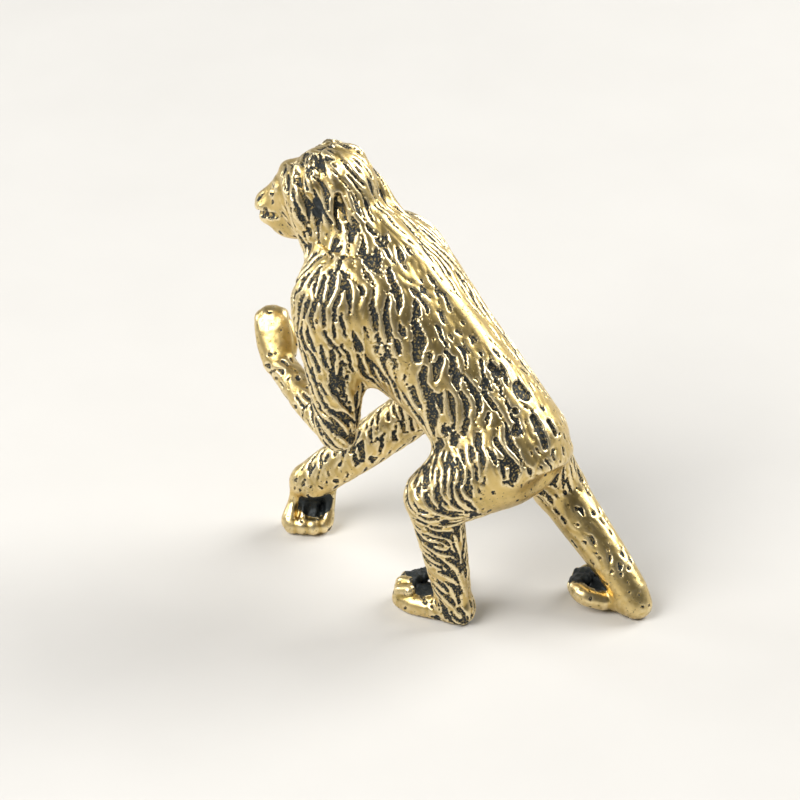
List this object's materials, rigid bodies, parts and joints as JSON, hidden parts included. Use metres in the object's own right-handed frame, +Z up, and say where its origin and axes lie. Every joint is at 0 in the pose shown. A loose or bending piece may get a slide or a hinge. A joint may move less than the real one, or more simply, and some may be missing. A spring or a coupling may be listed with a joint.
{
  "type": "monkey figurine",
  "caption": "Small solid brass ape figurine with carved fur, walking on its feet and one hand with the other hand raised before its chest.",
  "frame": {"origin": "centre of the bounding box, on the ground under the figure", "axes": "+Z up, the figure faces -Y, its left side is +X"},
  "size_m": [0.0196, 0.0424, 0.0439],
  "materials": {
    "antique_brass": "cast brass, darkened in the fur grooves and rubbed bright on the raised parts"
  },
  "bodies": {
    "root": {"torso": "antique_brass", "head": "antique_brass", "left_arm": "antique_brass", "right_arm": "antique_brass", "left_leg": "antique_brass", "right_leg": "antique_brass"}
  },
  "joints": []
}
